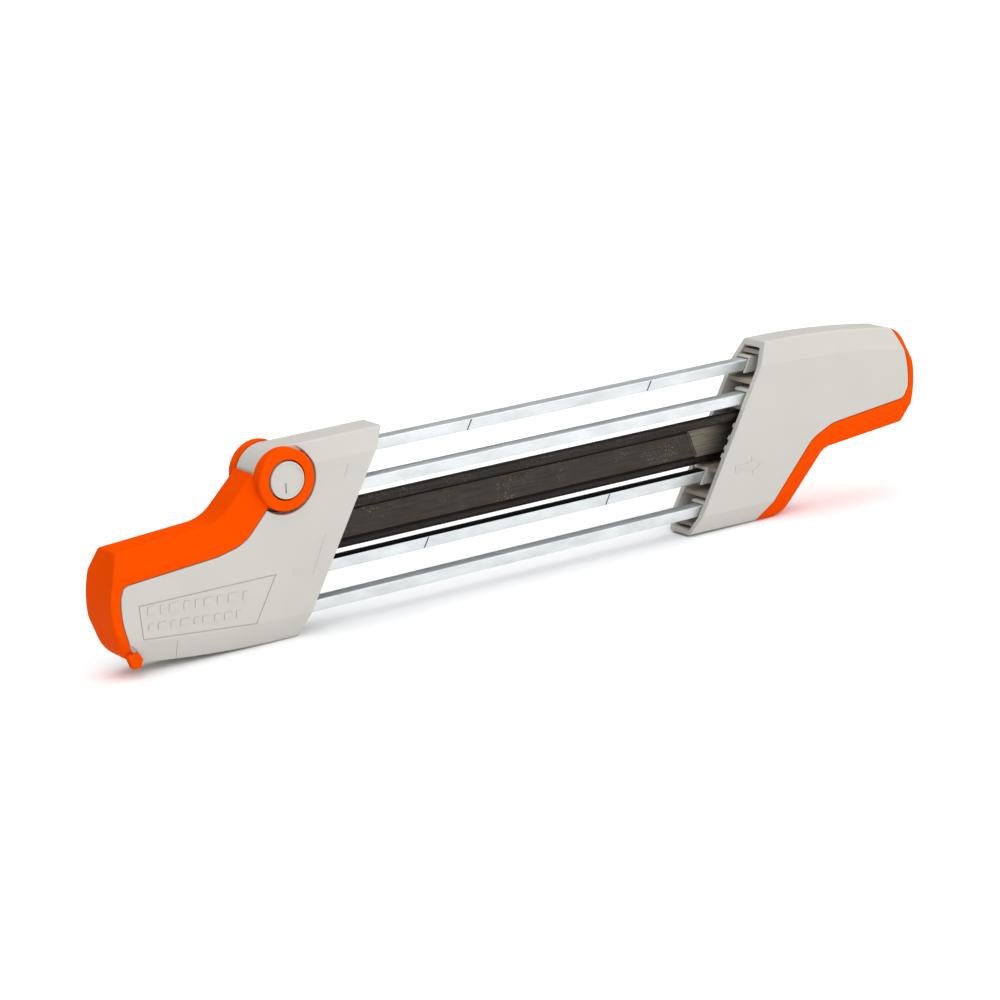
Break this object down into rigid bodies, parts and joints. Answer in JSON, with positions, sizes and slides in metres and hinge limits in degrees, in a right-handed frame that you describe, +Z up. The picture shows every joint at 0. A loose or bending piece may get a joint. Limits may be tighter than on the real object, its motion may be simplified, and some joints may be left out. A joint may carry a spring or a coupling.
{
  "type": "saw chain filing guide",
  "caption": "Two slanted plastic handles joined by steel guide rails, with round and flat files between them and a hinged cover over one grip.",
  "frame": {"origin": "under the middle of the object, on the ground it stands on", "axes": "+X along the guide rails from the hinged grip to the fixed grip, +Y through the thickness from the front to the back, +Z up"},
  "size_m": [0.3512, 0.0222, 0.068],
  "materials": {
    "shell": "finely textured light warm grey moulding",
    "insert": "plain light grey moulding",
    "orange": "satin orange moulding",
    "steel": "bright zinc plated",
    "file": "dark hardened steel with cut teeth",
    "rubber": "soft and dark"
  },
  "bodies": {
    "guide": {"left_handle_shell": "shell", "right_handle_shell": "shell", "right_grip_cap": "orange", "pivot_axle": "steel", "pivot_cap_front": "shell", "pivot_cap_back": "shell", "left_rail_insert": "insert", "right_rail_insert": "insert", "left_lock_plate": "steel", "right_lock_plate": "steel", "file_tip_socket": "insert", "guide_rail_1": "steel", "guide_rail_2": "steel", "guide_rail_3": "steel", "guide_rail_4": "steel", "round_file_front": "file", "round_file_back": "file", "flat_file": "file"},
    "cover": {"file_cover": "orange", "cover_pusher": "orange", "cover_pressure_pad": "rubber"}
  },
  "joints": [
    {"name": "cover_hinge", "type": "hinge", "parent": "guide", "child": "cover", "pos_m": [-0.1068, 0, 0.0565], "axis": [0, 1, 0], "range_deg": [0, 85]}
  ]
}
